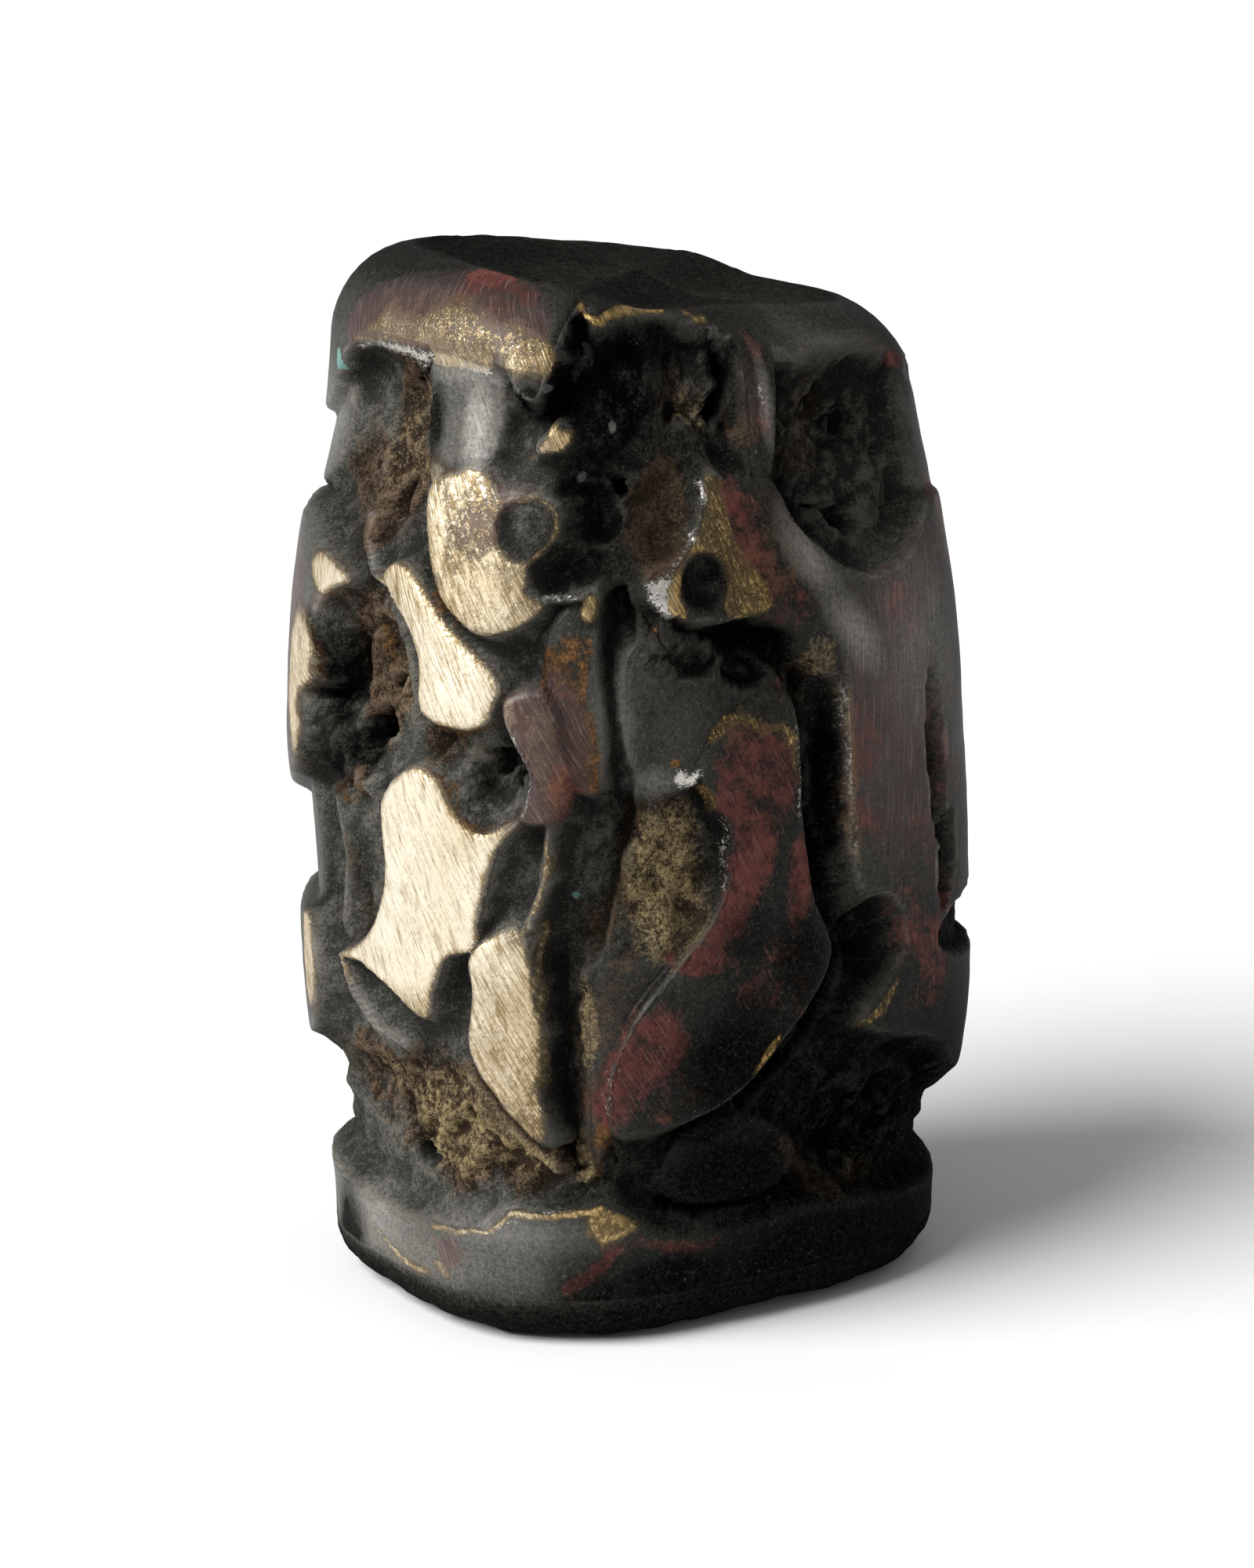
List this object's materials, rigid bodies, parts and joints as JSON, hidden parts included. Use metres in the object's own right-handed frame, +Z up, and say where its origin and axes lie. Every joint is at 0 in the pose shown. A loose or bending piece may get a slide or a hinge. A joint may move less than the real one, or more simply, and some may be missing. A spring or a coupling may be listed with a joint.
{
  "type": "bronze seal",
  "caption": "Small upright cast bronze seal with a rounded rectangular section, deeply carved sides, a worn sloping top and a flat foot to rest on.",
  "frame": {"origin": "centre of the bounding box, on the underside of the foot", "axes": "+Z up, -Y towards the rounded corner that the picture shows, +X to that view's right"},
  "size_m": [0.0194, 0.018, 0.0291],
  "materials": {
    "bronze": "black-brown patina worn through to bare metal on the raised skin, with dull red and brown corrosion in the cuts"
  },
  "bodies": {
    "root": {"bronze_seal": "bronze"}
  },
  "joints": []
}
